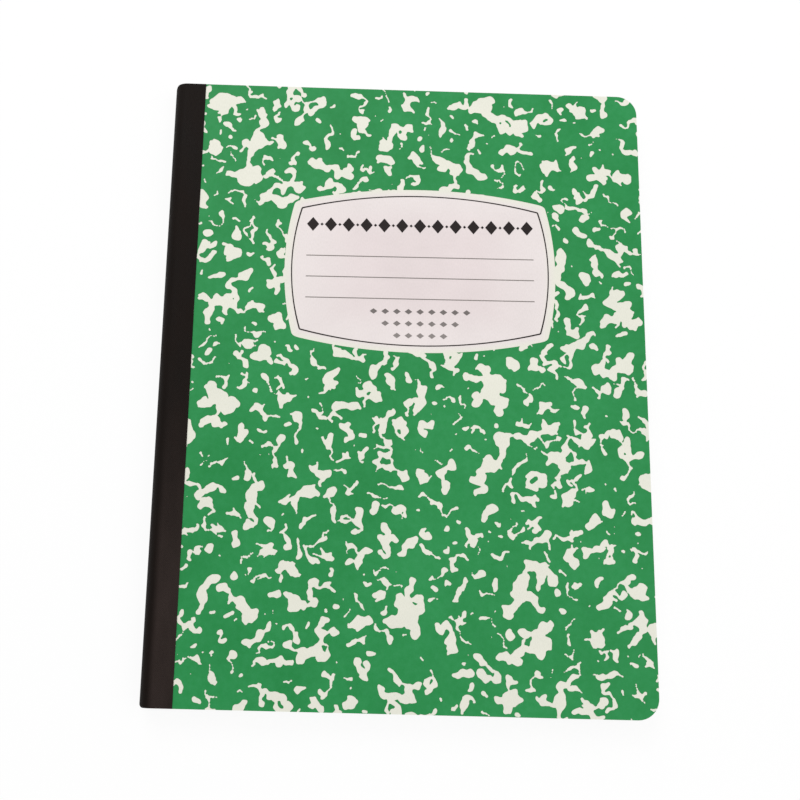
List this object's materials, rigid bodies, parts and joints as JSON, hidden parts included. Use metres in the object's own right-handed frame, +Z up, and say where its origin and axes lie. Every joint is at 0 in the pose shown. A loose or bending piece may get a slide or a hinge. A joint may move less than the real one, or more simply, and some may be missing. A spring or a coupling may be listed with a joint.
{
  "type": "composition notebook",
  "caption": "Sewn notebook with rounded cloth-taped spine, marbled board covers with a blank label, ruled pages and rounded fore-edge corners.",
  "frame": {"origin": "middle of the closed notebook's footprint, on the surface it lies on", "axes": "+X from the spine to the fore-edge, +Y from the tail to the head, +Z up through the thickness to the front cover"},
  "size_m": [0.1906, 0.2476, 0.0102],
  "materials": {
    "page_paper": "matte",
    "thread": "matte",
    "adhesive": "satin",
    "spine_cloth": "satin",
    "blue_ink": "matte",
    "red_ink": "matte",
    "board": "matte",
    "cover_paper": "satin",
    "liner_paper": "matte",
    "green_ink": "satin",
    "dark_ink": "satin",
    "grey_ink": "satin"
  },
  "bodies": {
    "book_block": {"page_block": "page_paper", "sewing_thread": "thread", "spine_adhesive": "adhesive", "spine_tape": "spine_cloth", "first_page_rules": "blue_ink", "first_page_margin_line": "red_ink", "last_page_rules": "blue_ink", "last_page_margin_line": "red_ink"},
    "front_cover": {"front_board": "board", "front_cover_paper": "cover_paper", "front_liner": "liner_paper", "front_tape_flap": "spine_cloth", "front_marbling": "green_ink", "label_frame": "dark_ink", "label_writing_lines": "grey_ink", "label_ornament": "dark_ink"},
    "back_cover": {"back_board": "board", "back_cover_paper": "cover_paper", "back_liner": "liner_paper", "back_tape_flap": "spine_cloth", "back_marbling": "green_ink"}
  },
  "joints": [
    {"name": "front_cover_hinge", "type": "hinge", "parent": "book_block", "child": "front_cover", "pos_m": [-0.09013, 0, 0.01024], "axis": [0, -1, 0], "range_deg": [0, 180]},
    {"name": "back_cover_hinge", "type": "hinge", "parent": "book_block", "child": "back_cover", "pos_m": [-0.09013, 0, 0], "axis": [0, 1, 0], "range_deg": [0, 180]}
  ]
}
